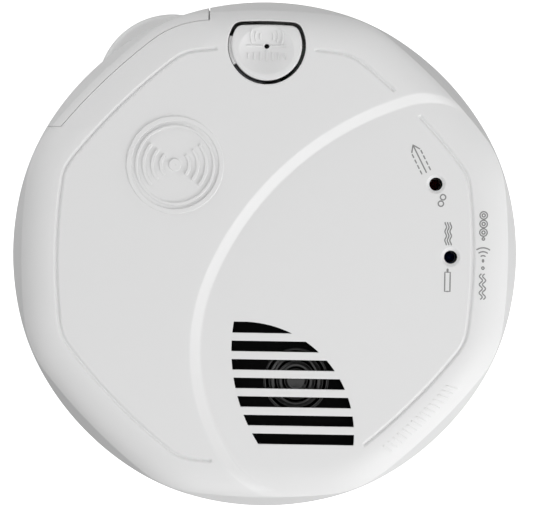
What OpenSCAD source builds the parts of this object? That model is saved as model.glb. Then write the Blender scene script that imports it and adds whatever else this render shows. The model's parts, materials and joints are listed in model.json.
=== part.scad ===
// Round smoke and carbon monoxide alarm with a twist-on mounting bracket, in millimetres.
// The origin is on the body axis in the mounting plane. +Z points out into the room.

/* [Body] */
// Diameter of the alarm
body_d = 142; // [141:0.5:143]
// Distance from the mounting plane to the raised face
depth = 50; // [49.5:0.5:51]
// Thickness of the housing walls
wall = 2.2; // [2:0.1:2.4]
// Gap between the mounting plane and the housing skirt
skirt_gap = 2.5; // [2:0.5:3.5]
// Height of the seam between the rear housing and the front cover
seam_z = 24; // [23.5:0.5:25]

/* [Face] */
// How far the sounder side lies below the raised crescent
step_drop = 2; // [1.5:0.1:2.5]
// Number of slots in the sounder grille
slot_count = 7; // [3:1:7]
// Distance between the grille slots
slot_pitch = 5.15; // [5:0.01:5.3]
// Height of one grille slot
slot_h = 2.95; // [2.5:0.05:3.2]
// Radius of the two indicator holes
indicator_r = 1.85; // [1.5:0.05:2]

/* [Moving parts] */
// Gap around the battery drawer's front
drawer_gap = 0.35; // [0.3:0.05:0.5]

/* [Bracket] */
// Distance between the centres of the two slotted screw holes
screw_spacing = 86.1; // [84:0.1:88]
// End-to-end length of a slotted screw hole
screw_slot_l = 7.2; // [6:0.1:8]
// Half the width of a slotted screw hole
screw_slot_r = 2.2; // [2:0.1:2.4]
// Diameter of the central opening
bracket_hole_d = 60; // [50:1:64]

/* [Hidden] */
$fn = 96;
body_r = body_d / 2;
inner_r = body_r - wall;

// The face is an octagon with bowed sides. Every outline of the face is an offset of it, so a
// side at distance d from the axis is an arc of radius bow_back + d centred bow_back behind it.
bow_back = 101.2;
shoulder_d = 59.4;      // where the flat face ends, at the middle of a side
shoulder_r = 10.4;      // radius of the rounded shoulder
ridge_angle = 60;       // slope of the shoulder where it meets the steep side facet
facet_tilt = 15;        // lean of the side facets from upright
shoulder_z = depth - shoulder_r;

floor_z = 8;            // underside of the housing floor
floor_top = floor_z + wall;

// Twist lock between the bracket and the housing
hook_r = 52;
hook_foot_r = 57.5;
hook_half_angle = 3.5;
lip_r = 54.6;
lip_half_angle = 7;
lip_z = 4.6;
rim_r = 63;
rim_top = 6.2;
lip_top = 6;
plate_t = 2;

// Battery bay, in a frame turned so that +X is the way the drawer slides out
slide_angle = 135;
drawer_z = 12.4;        // underside of the drawer front
drawer_left_y = 34.8;   // the drawer's left end is cut level here
drawer_right_x = -16.5; // and its right end is cut upright here
drawer_seam_d = 66.2;   // distance of the drawer's top seam
tray_in = 31;           // inner end of the tray
tray_low = -34.75;      // the tray's two sides
tray_high = 16.5;
tray_z = 13.6;
tray_t = 1.6;
tray_wall = 1.2;
battery_l = 46;         // case of a 9 V block, without its terminals
battery_w = 26.5;
battery_h = 17.5;
battery_x = 32.6;
battery_y = -33.35;
battery_z = 15.6;
terminal_h = 2.5;
terminal_pitch = 12.7;
tab_pos = [-27.06, 46.38];
tab_r = 21.1;
tab_t = 3;

// Circuit board and what stands on it
board_z = 20;
board_t = 1.6;
board_top = board_z + board_t;
board_r = 60;
post_places = [[-50, -6], [-16, -52], [42, -34], [40, 38], [16, 52]];
boss_angles = [-8, 200, 300];
boss_place_r = 64;
boss_r = 3.2;
screw_r = 1.4;
chamber_pos = [20, 15];
chamber_r = 23;
horn_pos = [9.4, -35.5];
horn_r = 17.5;
horn_top = 42;
horn_aperture_r = 9.15;
co_sensor_pos = [-26, -22];
smoke_led_pos = [47.75, 20.35];
co_led_pos = [52.2, -0.05];
switch_pos = [4, 56.2];
switch_size = 6;
switch_top = 25.4;
plunger_r = 1.75;
plunger_top = 27.2;

// Sounder grille, where two circles overlap
grille_left_pos = [40.5, -26.5];
grille_left_r = 49.4;
grille_right_pos = [-5.7, -50.7];
grille_right_r = 31.6;
slots_top = -19.4;      // upper edge of the first slot

// Test button
button_pos = [-0.35, 58.5];
button_r = 9.9;
button_cut = 5.5;       // the D's flat side, above its centre
button_gap = 1.05;
button_flat_gap = 1.1;  // gap along the flat side
collar_w = 1.3;         // width of the collar that guides the button
catch_r = 12;
button_top = depth - 0.2;
button_skirt_z = 43.2;

// Distance from the axis to the bowed side at distance d, in the direction a
function side_reach(a, d) =
    let (s = a - 45 * round(a / 45))
    sqrt(pow(bow_back + d, 2) - pow(bow_back * sin(s), 2)) - bow_back * cos(s);

// The side's profile as [distance, height], moved inwards by inset
function side_profile(inset, base_z) =
    let (r = shoulder_r - inset,
         ridge_d = shoulder_d + r * sin(ridge_angle),
         ridge_z = shoulder_z + r * cos(ridge_angle))
    concat([for (z = [base_z, 34, 37, 40]) [ridge_d + (ridge_z - z) * tan(facet_tilt), z]],
           [for (a = [ridge_angle:-15:0]) [shoulder_d + r * sin(a), shoulder_z + r * cos(a)]]);

// The whole domed form from base_z to the face, with its sides moved inwards by inset
module body_form(inset, base_z) {
    profile = side_profile(inset, base_z);
    n = 72;
    last = len(profile) - 1;
    points = [for (p = profile) for (i = [0:n - 1])
        let (a = 360 * i / n, r = min(body_r - inset, side_reach(a, p[0])))
        [r * cos(a), r * sin(a), p[1]]];
    polyhedron(points, concat(
        [[for (i = [0:n - 1]) i]],
        [[for (i = [n - 1:-1:0]) last * n + i]],
        [for (k = [0:last - 1]) for (i = [0:n - 1]) let (j = (i + 1) % n)
            [k * n + i, (k + 1) * n + j, k * n + j]],
        [for (k = [0:last - 1]) for (i = [0:n - 1]) let (j = (i + 1) % n)
            [k * n + i, (k + 1) * n + i, (k + 1) * n + j]]));
}

// The bowed octagon at distance d
module outline(d) {
    intersection_for (k = [0:7])
        rotate(45 * k) translate([-bow_back, 0]) circle(r = bow_back + d, $fn = 180);
}

// The lower sounder side of the face: the inside of a leaning ellipse
module sounder_side(margin) {
    lean = 36;
    half_l = 70.7 + margin;
    half_w = 55 + margin;
    polygon([for (t = [0:7.5:352.5])
        [46.2 + half_l * cos(t) * cos(lean) - half_w * sin(t) * sin(lean),
         -13.7 + half_l * cos(t) * sin(lean) + half_w * sin(t) * cos(lean)]]);
}

// Plan of the battery drawer's front, moved inwards by gap
module drawer_plan(gap) {
    reach = body_r + 20;
    difference() {
        translate([-reach, drawer_left_y + gap])
            square([reach + drawer_right_x - gap, reach - drawer_left_y]);
        outline(drawer_seam_d + gap);
    }
}

// Turns its children into the battery bay's frame
module in_bay() {
    rotate(slide_angle) children();
}

// The room that the tray and the battery slide through
module bay_space() {
    in_bay() translate([tray_in - 0.8, tray_low - 0.45, drawer_z - 0.4])
        cube([60, tray_high - tray_low + 0.9, 34.5 - drawer_z]);
}

module drawer_opening() {
    translate([0, 0, drawer_z - 0.4]) linear_extrude(60) drawer_plan(0);
    bay_space();
}

// A D-shaped outline: a circle of radius r with its top cut off
module d_shape(r, cut) {
    translate(button_pos) intersection() {
        circle(r = r);
        translate([-r, -r]) square([2 * r, r + cut]);
    }
}

module ring(outer, inner, low, high) {
    translate([0, 0, low]) difference() {
        cylinder(r = outer, h = high - low);
        translate([0, 0, -1]) cylinder(r = inner, h = high - low + 2);
    }
}

// Part of a ring between two angles less than 90 degrees apart
module ring_piece(outer, inner, low, high, from, to) {
    translate([0, 0, low]) rotate(from) rotate_extrude(angle = to - from)
        translate([inner, 0]) square([outer - inner, high - low]);
}

module at_bosses() {
    for (a = boss_angles) rotate(a) translate([boss_place_r, 0]) children();
}

module slot(length, r, h) {
    translate([-length / 2 + r, -r, 0]) cube([length - 2 * r, 2 * r, h]);
    for (side = [-1, 1]) translate([side * (length / 2 - r), 0, 0]) cylinder(r = r, h = h);
}

module keyhole() {
    cylinder(r = 4, h = 10);
    translate([-2.2, 0, 0]) cube([4.4, 8, 10]);
    translate([0, 8, 0]) cylinder(r = 2.2, h = 10);
}

module mounting_bracket() {
    color("white") {
        difference() {
            union() {
                cylinder(r = rim_r, h = plate_t);
                ring(rim_r, rim_r - 2.4, plate_t / 2, rim_top);
                ring(bracket_hole_d / 2 + 2, bracket_hole_d / 2 - 1, plate_t / 2, 4.5);
                ring(49, 47.5, plate_t / 2, 4);
                for (k = [0:3]) rotate(45 + 90 * k) {
                    ring_piece(rim_r - 1, lip_r, lip_z, lip_top,
                               -lip_half_angle - 2, lip_half_angle);
                    // Stop at the locked end, under the lip
                    ring_piece(rim_r - 1, lip_r + 0.3, plate_t / 2, lip_z + 0.5,
                               -lip_half_angle - 1.8, -lip_half_angle);
                }
            }
            translate([0, 0, -1]) cylinder(r = bracket_hole_d / 2, h = 10);
            for (side = [-1, 1]) translate([side * screw_spacing / 2, 0, -1])
                slot(screw_slot_l, screw_slot_r, 10);
            for (turn = [90, -90]) rotate(turn) translate([38, 0, -1]) rotate(-90) keyhole();
        }
    }
}

module housing_hook() {
    start = -hook_half_angle - 3;
    end = hook_half_angle - 3;
    ring_piece(hook_r + 2, hook_r, 2.6, floor_z + 1, start, end);
    ring_piece(hook_foot_r, hook_r, 2.6, 4.2, start, end);
}

module rear_housing() {
    rail_h = 19;
    vent_pitch = 6;
    color("white") difference() {
        union() {
            difference() {
                ring(body_r, inner_r, skirt_gap, seam_z);
                // Air slots around the side, in groups of nine, away from the battery drawer
                for (k = [0:59]) if (k % 10 != 0 && abs(vent_pitch * k - 127) > 36)
                    rotate(vent_pitch * k) translate([inner_r - 1, -1.2, 12.5])
                        cube([wall + 2, 2.4, 7]);
            }
            translate([0, 0, floor_z]) cylinder(r = inner_r + 1, h = wall);
            for (k = [0:3]) rotate(45 + 90 * k) housing_hook();
            // Guides for the tray
            intersection() {
                in_bay() {
                    for (y = [tray_low - 1.85, tray_high + 0.45])
                        translate([tray_in - 2, y, floor_top - 1]) cube([45, 1.4, rail_h - floor_top + 1]);
                    translate([tray_in - 2, tray_low - 1.85, floor_top - 1])
                        cube([1.2, tray_high - tray_low + 3.7, rail_h - floor_top + 1]);
                    for (y = [-25, 7]) translate([tray_in, y, floor_top - 1])
                        cube([45, 1.6, tray_z - 0.4 - floor_top + 1]);
                }
                cylinder(r = inner_r + 1, h = depth);
            }
            for (p = post_places) translate([p[0], p[1], floor_top - 1])
                cylinder(r = 3, h = board_z - floor_top + 1);
        }
        for (p = post_places) translate([p[0], p[1], floor_top + 1]) cylinder(r = 1.25, h = 20);
        at_bosses() {
            translate([0, 0, floor_z - 1]) cylinder(r = screw_r + 0.2, h = 10);
            translate([0, 0, floor_z - 0.01]) cylinder(r1 = 3, r2 = screw_r + 0.2, h = 1.6);
        }
        drawer_opening();
    }
}

module cover_shell() {
    difference() {
        body_form(0, seam_z);
        difference() {
            body_form(wall, seam_z - 1);
            translate([0, 0, depth - wall - step_drop]) linear_extrude(10) sounder_side(wall);
        }
        translate([0, 0, depth - step_drop]) linear_extrude(10) sounder_side(0);
    }
}

module grille_slots() {
    intersection() {
        translate(grille_left_pos) circle(r = grille_left_r);
        translate(grille_right_pos) circle(r = grille_right_r);
        for (k = [0:slot_count - 1])
            translate([-20, slots_top - slot_h - slot_pitch * k]) square([60, slot_h]);
    }
}

module front_cover() {
    tongue_low = seam_z - 3;
    color("white") difference() {
        union() {
            cover_shell();
            ring(inner_r - 0.3, inner_r - 2, tongue_low, seam_z + 0.5);
            ring(inner_r + 0.5, inner_r - 2, seam_z, seam_z + 1.5);
            at_bosses() translate([0, 0, floor_top + 0.4]) cylinder(r = boss_r, h = 34.5);
            // Collar that guides the button
            translate([0, 0, 45.2]) linear_extrude(2.8)
                d_shape(button_r + button_gap + collar_w, button_cut + 0.8);
        }
        at_bosses() translate([0, 0, floor_top - 1]) cylinder(r = screw_r + 0.05, h = 14);
        translate([0, 0, 40]) linear_extrude(20) d_shape(button_r + button_gap, button_cut + button_flat_gap);
        translate([0, 0, 40]) linear_extrude(20) grille_slots();
        for (p = [smoke_led_pos, co_led_pos]) translate([p[0], p[1], 0]) {
            translate([0, 0, 40]) cylinder(r = indicator_r, h = 20);
            translate([0, 0, depth - step_drop - 0.85]) cylinder(r1 = indicator_r, r2 = 2.75, h = 0.9);
        }
        drawer_opening();
    }
}

module test_button() {
    dish_r = 33.7;
    rib_top = button_top - 1.4;
    rib_w = 0.8;
    dish_depth = 0.9;
    color("white") difference() {
        union() {
            translate([0, 0, button_skirt_z + 1]) linear_extrude(button_top - button_skirt_z - 1)
                d_shape(button_r, button_cut);
            // Catch under the cover, only along the flat side
            translate([0, 0, button_skirt_z]) linear_extrude(1.2) intersection() {
                d_shape(catch_r, button_cut + 0.2);
                translate([-20, button_pos[1] + 3.3]) square([40, 20]);
            }
            // Guide rib that fills most of the gap on the left
            translate([button_pos[0], button_pos[1], 0])
                ring_piece(button_r + rib_w, button_r - 1, button_skirt_z + 1, rib_top, 166, 211);
            translate([switch_pos[0], switch_pos[1], plunger_top + 0.2])
                cylinder(r = 2, h = 48 - plunger_top);
        }
        difference() {
            translate([0, 0, button_skirt_z - 1]) linear_extrude(4.6)
                d_shape(button_r - 1.4, button_cut - 1.4);
            translate([switch_pos[0], switch_pos[1], 20]) cylinder(r = 2, h = 40);
        }
        translate([button_pos[0] - 0.15, button_pos[1] - 1.4, button_top + dish_r - dish_depth])
            sphere(r = dish_r);
        translate([button_pos[0], button_pos[1], button_top - 1.8]) cylinder(r = 0.8, h = 5);
    }
}

module battery_drawer() {
    color("white") {
        intersection() {
            difference() {
                body_form(0, drawer_z);
                body_form(wall, drawer_z - 1);
            }
            translate([0, 0, drawer_z]) linear_extrude(60) drawer_plan(drawer_gap);
        }
        translate([0, 0, drawer_z]) linear_extrude(tab_t) intersection() {
            translate(tab_pos) circle(r = tab_r);
            drawer_plan(drawer_gap);
        }
        intersection() {
            cylinder(r = inner_r + 0.3, h = depth);
            in_bay() {
                translate([tray_in, tray_low, tray_z]) cube([45, tray_high - tray_low, tray_t]);
                translate([tray_in, tray_low, tray_z]) cube([tray_wall, tray_high - tray_low, 4.8]);
                translate([tray_in, tray_low, tray_z]) cube([45, tray_wall, 10]);
                translate([tray_in, tray_high - tray_wall, tray_z]) cube([45, tray_wall, 4.4]);
                translate([battery_x + battery_w + 0.3, -12, tray_z]) cube([tray_wall, 24, 10]);
            }
        }
    }
}

// A block with four long edges of radius r, running along +Y
module long_block(size, r) {
    translate([0, size[1], 0]) rotate([90, 0, 0]) linear_extrude(size[1]) {
        translate([r, 0]) square([size[0] - 2 * r, size[2]]);
        translate([0, r]) square([size[0], size[2] - 2 * r]);
        for (x = [r, size[0] - r]) for (z = [r, size[2] - r]) translate([x, z]) circle(r = r);
    }
}

module battery_case() {
    color("dimgray") in_bay() translate([battery_x, battery_y, battery_z])
        long_block([battery_w, battery_l, battery_h], 2.5);
}

module battery_top_plate() {
    color("black") in_bay() translate([battery_x + 0.8, battery_y + battery_l, battery_z + 0.8])
        long_block([battery_w - 1.6, 0.7, battery_h - 1.6], 2);
}

// Places a terminal on the battery's end, side = -1 or 1
module at_terminal(side) {
    in_bay() translate([battery_x + battery_w / 2 + side * terminal_pitch / 2,
                        battery_y + battery_l + 0.7, battery_z + battery_h / 2])
        rotate([-90, 0, 0]) children();
}

module battery_stud() {
    color("silver") at_terminal(1) {
        cylinder(r = 2.9, h = terminal_h - 0.7);
        cylinder(r = 4, h = 0.4);
    }
}

module battery_socket() {
    color("silver") at_terminal(-1) difference() {
        cylinder(r = 4.3, h = terminal_h - 0.7, $fn = 6);
        translate([0, 0, 0.5]) cylinder(r = 3, h = 5);
    }
}

module battery_contact_block() {
    color("ivory") in_bay() translate([38, 18.6, floor_top]) difference() {
        cube([22, 3, 22]);
        for (side = [-1, 1]) translate([7.85 + side * terminal_pitch / 2 - 2.2, -1, 18.7])
            cube([4.4, 2.6, 1.2]);
    }
}

module battery_contacts() {
    strip_w = 4;
    color("gold") in_bay() for (side = [-1, 1])
        translate([battery_x + battery_w / 2 + side * terminal_pitch / 2 - strip_w / 2, 0, 0])
            rotate([90, 0, 90]) linear_extrude(strip_w)
                polygon([[19.8, 29.4], [18.2, 29.4], [15.35, 25.6], [15.35, 23.1], [18.2, 19.4],
                         [18.6, 19.6], [15.75, 23.25], [15.75, 25.45], [18.4, 29], [19.8, 29]]);
}

module circuit_board() {
    color("darkgreen") translate([0, 0, board_z]) linear_extrude(board_t) difference() {
        circle(r = board_r);
        in_bay() translate([tray_in - 2.6, tray_low - 2.8]) square([60, 59.6]);
        for (p = post_places) translate(p) circle(r = 1.5);
    }
}

module smoke_chamber_base() {
    color("#222222") translate([chamber_pos[0], chamber_pos[1], board_top]) {
        cylinder(r = chamber_r, h = 1.6);
        ring(chamber_r - 1, chamber_r - 2.2, 1, 3.4);
        for (turn = [20, 140]) rotate(turn) translate([9, -4, 1]) cube([9, 8, 1.2]);
    }
}

module smoke_chamber_cap() {
    vane_count = 20;
    color("#1c1c1c") translate([chamber_pos[0], chamber_pos[1], board_top + 12.4]) {
        cylinder(r = chamber_r, h = 1.6);
        translate([0, 0, 1]) cylinder(r = 12, h = 2);
        for (k = [0:vane_count - 1]) rotate(360 / vane_count * k) translate([18.2, 0, -8.6])
            rotate(52) translate([-2.4, -0.5, 0]) cube([4.8, 1, 9]);
    }
}

module insect_screen() {
    color("silver") translate([chamber_pos[0], chamber_pos[1], 0])
        ring(chamber_r + 0.5, chamber_r + 0.2, board_top, board_top + 13.6);
}

// A round-nosed 3 mm lamp lying on the chamber base and looking at its centre
module chamber_lamp(turn) {
    translate([chamber_pos[0], chamber_pos[1], board_top + 4.4]) rotate(turn)
        translate([10, 0, 0]) rotate([0, 90, 0]) {
            cylinder(r = 1.5, h = 5);
            sphere(r = 1.5);
            translate([0, 0, 4.2]) cylinder(r = 1.9, h = 0.9);
        }
}

module infrared_led() {
    color("lavender") chamber_lamp(20);
}

module photodiode() {
    color("#303040") chamber_lamp(140);
}

module co_sensor() {
    color("gainsboro") translate([co_sensor_pos[0], co_sensor_pos[1], board_top]) {
        translate([0, 0, 0.6]) cylinder(r = 10, h = 14);
        ring(10.4, 9, 12.8, 14.6);
        for (a = [0:120:240]) rotate(a) translate([6, 0, 0]) cylinder(r = 0.5, h = 1);
    }
}

module co_sensor_filter() {
    color("#202020") translate([co_sensor_pos[0], co_sensor_pos[1], board_top + 14.6]) difference() {
        cylinder(r = 8.8, h = 3);
        translate([0, 0, 1]) cylinder(r = 3, h = 5);
    }
}

module horn_housing() {
    ledge = horn_top - 8;
    color("#161616") translate([horn_pos[0], horn_pos[1], 0]) difference() {
        union() {
            translate([0, 0, board_top]) cylinder(r = horn_r, h = horn_top - board_top);
            // Flange that closes off the space behind the grille
            translate([-0.6, -0.5, horn_top - 1]) cylinder(r = 24.3, h = 2);
        }
        translate([0, 0, board_top - 1]) cylinder(r = 12, h = ledge - board_top + 2);
        translate([0, 0, ledge]) cylinder(r = horn_r - 2, h = 5.6);
        translate([0, 0, ledge]) cylinder(r = horn_aperture_r, h = 20);
    }
}

module horn_disc() {
    z = horn_top - 8;
    color("silver") translate([horn_pos[0], horn_pos[1], z]) {
        cylinder(r = 13.5, h = 0.3);
        for (r = [3.2, 5.4, 7.6]) ring(r + 0.35, r - 0.35, 0.2, 0.6);
    }
}

module horn_ceramic() {
    color("beige") translate([horn_pos[0], horn_pos[1], horn_top - 8.25]) cylinder(r = 9, h = 0.25);
}

module horn_contact_springs() {
    color("gold") for (p = [[0, 0], [7.6, 0], [-10.6, 0]])
        translate([horn_pos[0] + p[0], horn_pos[1] + p[1], board_top]) {
            cylinder(r = 0.45, h = horn_top - 8.25 - board_top);
            cylinder(r = 1.1, h = 3);
        }
}

module switch_body() {
    color("#2a2a2a") translate([switch_pos[0], switch_pos[1], board_top]) difference() {
        translate([-switch_size / 2, -switch_size / 2, 0])
            cube([switch_size, switch_size, switch_top - board_top]);
        translate([0, 0, switch_top - board_top - 1.6]) cylinder(r = plunger_r + 0.08, h = 5);
    }
}

module switch_plunger() {
    color("black") translate([switch_pos[0], switch_pos[1], switch_top - 0.6])
        cylinder(r = plunger_r, h = plunger_top - switch_top + 0.6);
}

module indicator(place) {
    translate([place[0], place[1], board_top]) {
        cylinder(r = 1.9, h = 1);
        cylinder(r = 1.5, h = 4);
        translate([0, 0, 4]) sphere(r = 1.5);
    }
}

module smoke_led() {
    color("red") indicator(smoke_led_pos);
}

module co_led() {
    color("dodgerblue") indicator(co_led_pos);
}

module light_shrouds() {
    color("#101010") for (p = [smoke_led_pos, co_led_pos]) translate([p[0], p[1], 0])
        ring(3.3, 2.1, board_top, depth - step_drop - wall - 0.2);
}

module microcontroller() {
    color("#181818") translate([-14, 2, board_top]) {
        translate([-5, -5, 0.4]) cube([10, 10, 1.4]);
        translate([-6.2, -4.2, 0]) cube([12.4, 8.4, 0.6]);
        translate([-4.2, -6.2, 0]) cube([8.4, 12.4, 0.6]);
    }
}

module horn_coil() {
    color("#303030") translate([-14, -39.5, board_top]) {
        cylinder(r = 4.5, h = 1.5);
        cylinder(r = 3.4, h = 9);
        translate([0, 0, 8]) cylinder(r = 4.5, h = 1.5);
    }
}

module capacitors() {
    color("#20305a") for (p = [[-40, -14, 4, 10], [-38, -30, 3.2, 8], [28, -14, 3.2, 8], [-4, 28, 2.5, 7]])
        translate([p[0], p[1], board_top]) cylinder(r = p[2], h = p[3]);
}

module board_screws() {
    color("silver") for (p = post_places) translate([p[0], p[1], 0]) difference() {
        union() {
            translate([0, 0, floor_top + 3]) cylinder(r = 1.2, h = board_top - floor_top - 2);
            translate([0, 0, board_top]) cylinder(r = 2.6, h = 1.8);
        }
        translate([-1.7, -0.3, board_top + 1]) cube([3.4, 0.6, 2]);
        translate([-0.3, -1.7, board_top + 1]) cube([0.6, 3.4, 2]);
    }
}

module housing_screws() {
    color("silver") at_bosses() difference() {
        union() {
            translate([0, 0, floor_z]) cylinder(r = screw_r, h = 14);
            translate([0, 0, floor_z]) cylinder(r1 = 2.9, r2 = screw_r, h = 1.5);
        }
        translate([-1.6, -0.3, floor_z - 1]) cube([3.2, 0.6, 1.8]);
        translate([-0.3, -1.6, floor_z - 1]) cube([0.6, 3.2, 1.8]);
    }
}

module rear_label() {
    color("whitesmoke") translate([-20, -13, floor_z - 0.15]) cube([40, 26, 0.15]);
}

mounting_bracket();
rear_housing();
front_cover();
test_button();
battery_drawer();
battery_case();
battery_top_plate();
battery_stud();
battery_socket();
battery_contact_block();
battery_contacts();
circuit_board();
smoke_chamber_base();
smoke_chamber_cap();
insect_screen();
infrared_led();
photodiode();
co_sensor();
co_sensor_filter();
horn_housing();
horn_disc();
horn_ceramic();
horn_contact_springs();
switch_body();
switch_plunger();
smoke_led();
co_led();
light_shrouds();
microcontroller();
horn_coil();
capacitors();
board_screws();
housing_screws();
rear_label();
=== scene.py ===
"""A round smoke and carbon monoxide alarm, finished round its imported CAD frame.

Lengths in this script are millimetres until a mesh is made, and +Z points out of the wall.
"""
import json

import bmesh
import bpy
import numpy as np
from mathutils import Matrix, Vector
from mathutils.geometry import delaunay_2d_cdt


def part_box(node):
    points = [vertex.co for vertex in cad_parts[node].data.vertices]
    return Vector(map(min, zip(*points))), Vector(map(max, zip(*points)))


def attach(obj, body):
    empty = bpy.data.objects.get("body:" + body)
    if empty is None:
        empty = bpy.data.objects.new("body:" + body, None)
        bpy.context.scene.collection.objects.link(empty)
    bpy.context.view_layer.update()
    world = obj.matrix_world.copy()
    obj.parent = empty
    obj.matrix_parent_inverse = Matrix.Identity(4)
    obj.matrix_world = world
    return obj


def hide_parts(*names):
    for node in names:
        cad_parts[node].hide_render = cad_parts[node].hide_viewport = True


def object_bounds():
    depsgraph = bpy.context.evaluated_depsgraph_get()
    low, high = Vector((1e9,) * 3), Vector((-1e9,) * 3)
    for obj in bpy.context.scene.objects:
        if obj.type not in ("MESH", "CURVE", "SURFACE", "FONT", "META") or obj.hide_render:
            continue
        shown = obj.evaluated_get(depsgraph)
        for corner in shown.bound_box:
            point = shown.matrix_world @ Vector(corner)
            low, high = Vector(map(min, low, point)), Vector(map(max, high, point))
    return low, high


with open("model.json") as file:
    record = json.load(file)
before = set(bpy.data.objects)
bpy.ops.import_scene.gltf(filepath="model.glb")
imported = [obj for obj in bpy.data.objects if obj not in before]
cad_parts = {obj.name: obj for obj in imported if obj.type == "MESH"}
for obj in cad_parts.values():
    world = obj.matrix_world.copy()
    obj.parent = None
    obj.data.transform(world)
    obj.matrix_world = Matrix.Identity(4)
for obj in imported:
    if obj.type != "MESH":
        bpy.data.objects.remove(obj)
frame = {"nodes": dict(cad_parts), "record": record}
cad_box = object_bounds()

MM = 0.001


def box_mm(node):
    low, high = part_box(node)
    return np.array(low) / MM, np.array(high) / MM


def middle(node):
    """The middle of a node's box in plan."""
    low, high = box_mm(node)
    return ((low + high) / 2)[:2]


# ---- sizes

BODY_R = cad_box[1].x / MM
DEPTH = cad_box[1].z / MM
SEAM_Z = box_mm("rear_housing")[1][2]
WALL = 2.2
STEP = 2.0  # the sounder side lies this far below the crescent

# The face is an octagon with bowed sides and rounded corners
BOW_BACK = 101.2  # a side's centre of curvature lies this far behind the axis
HALF_SIDE = np.radians(22.5)
BODY_CORNER = 38.8  # the distance at which the corners would be sharp
GROOVE_CORNER = 46.0  # the same for the groove, whose corners are tighter
SHOULDER_D = 59.4
SHOULDER_R = 10.4
RIDGE_SLOPE = np.radians(60)
FACET_LEAN = np.tan(np.radians(15))

# The curved band between the two levels: four arcs that turn left, as (radius, length)
BAND_START = (57.0, 40.0)
BAND_HEADING = 139.2
BAND_ARCS = ((18.3, 18.6), (87.5, 75.5), (54.7, 55.9), (23.7, 20.8))
BAND_W = 2.9
BAND_EDGE = 0.25  # rounding of its two edges
BAND_TAPER = 14.0  # it narrows to a point over this length at its start
BAND_TIP = 0.05  # share of its width that the point keeps
BAND_FLARE = 0.75  # under 1, it widens faster near the point
BAND_LEAD = 30.0  # it runs on straight for this length at both ends
BAND_STEP = 0.25  # spacing of the points along its middle
BAND_SPARE = 20  # the points at both ends that lie far outside the face
STRAIGHT = 1e9  # a radius too large to bend anything

GROOVE_D = 58.45
GROOVE_CENTRE = np.array([0, -0.5])
GROOVE_W = 1.5
GROOVE_DEPTH = 0.62
GROOVE_END = 0.6  # its ends run out over this length
GROOVE_RUNS = ((103.7, 256.5), (298.3, 403.2), (52.5, 77.3))  # in degrees round the axis

# The grille's slots lie where two circles overlap
GRILLE_LEFT = ((40.5, -26.5), 49.4)
GRILLE_RIGHT = ((-5.7, -50.7), 31.6)
SLOT_TOP = -19.28
FIRST_SLOT_TOP = -19.12  # the first slot reaches up to the right circle
SLOT_H = 2.95
SLOT_PITCH = 5.19
SLOT_COUNT = 7
SLOT_SPACING = 0.9  # largest spacing of the points along a slot's long edges

LIGHTS = (middle("smoke_led"), middle("co_led"))
LIGHT_R = 1.85
LIGHT_RIM_R = 2.75
LIGHT_SINK = 0.85
LIGHT_RINGS = (2.05, 2.25, 2.45, 2.62, LIGHT_RIM_R, 2.88, 3.1)  # rows of points round a light

DRAWER_RIGHT = -16.5  # the drawer's right end is cut upright here
DRAWER_LEFT = 34.8  # and its left end is cut level here
DRAWER_SEAM_D = 66.2
DRAWER_GAP = 0.08
DRAWER_RIGHT_GAP = 0.35
DRAWER_ROWS = (67.3, 67.85)  # distances of its rows of points between seam and ridge
DRAWER_CHAMFER = 0.4
DRAWER_Z = box_mm("battery_drawer")[0][2]
TAB_PLACE = np.array([-27.06, 46.38])
TAB_R = 21.4
TAB_ROOT_R = 68.9  # its two ends lie this far from the axis, inside the wall
TAB_T = 3.0

BUTTON_R = 9.9
BUTTON_CUT = 5.6
BUTTON_GAP = 1.05
BUTTON_FLAT_GAP = 1.0
BUTTON_CORNER = 2.6
BUTTON_ARCH = 0.2  # its flat side bows out by this much
BUTTON_ROUNDING = 0.55
BUTTON = np.array([middle("test_button")[0], box_mm("test_button")[0][1] + BUTTON_R])
BUTTON_LOW = box_mm("test_button")[0][2]
BUTTON_SINK = 0.2  # the button's top lies this far below the face round it
DISH = np.array([-0.5, 57.1])
DISH_HALF = np.array([7.8, 6.8])
DISH_DEPTH = 2.2
DISH_POWER = 1.1  # 1 gives the dish a crisp edge, and more a softer one
PINHOLE = BUTTON + (0, -0.25)
PINHOLE_R = 0.7

OPENING_R = BUTTON_R + BUTTON_GAP
OPENING_CUT = BUTTON_CUT + BUTTON_FLAT_GAP
OPENING_CORNER = 3.0
OPENING_ARCH = 0.25
OPENING_ROUNDING = 0.4


# ---- the form as formulas

def side_frame(x, y):
    """A point seen from its nearest side: along that side's normal, and across it."""
    turn = np.round(np.arctan2(y, x) / (2 * HALF_SIDE)) * 2 * HALF_SIDE
    return x * np.cos(turn) + y * np.sin(turn), np.abs(y * np.cos(turn) - x * np.sin(turn))


def corner_place(start):
    """How far a side turns before its corner begins, and the corner's centre's distance."""
    turn = HALF_SIDE - np.arcsin(BOW_BACK * np.sin(HALF_SIDE) / (BOW_BACK + start))
    return turn, (BOW_BACK + start) * np.sin(turn) / np.sin(HALF_SIDE)


def distance(x, y, start=BODY_CORNER):
    """Which offset of the bowed octagon passes through a point."""
    turn, place = corner_place(start)
    u, v = side_frame(x, y)
    side = np.hypot(u + BOW_BACK, v) - BOW_BACK
    corner = np.hypot(u - place * np.cos(HALF_SIDE), v - place * np.sin(HALF_SIDE))
    return np.where(np.arctan2(v, u + BOW_BACK) <= turn, side, corner + start)


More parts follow.
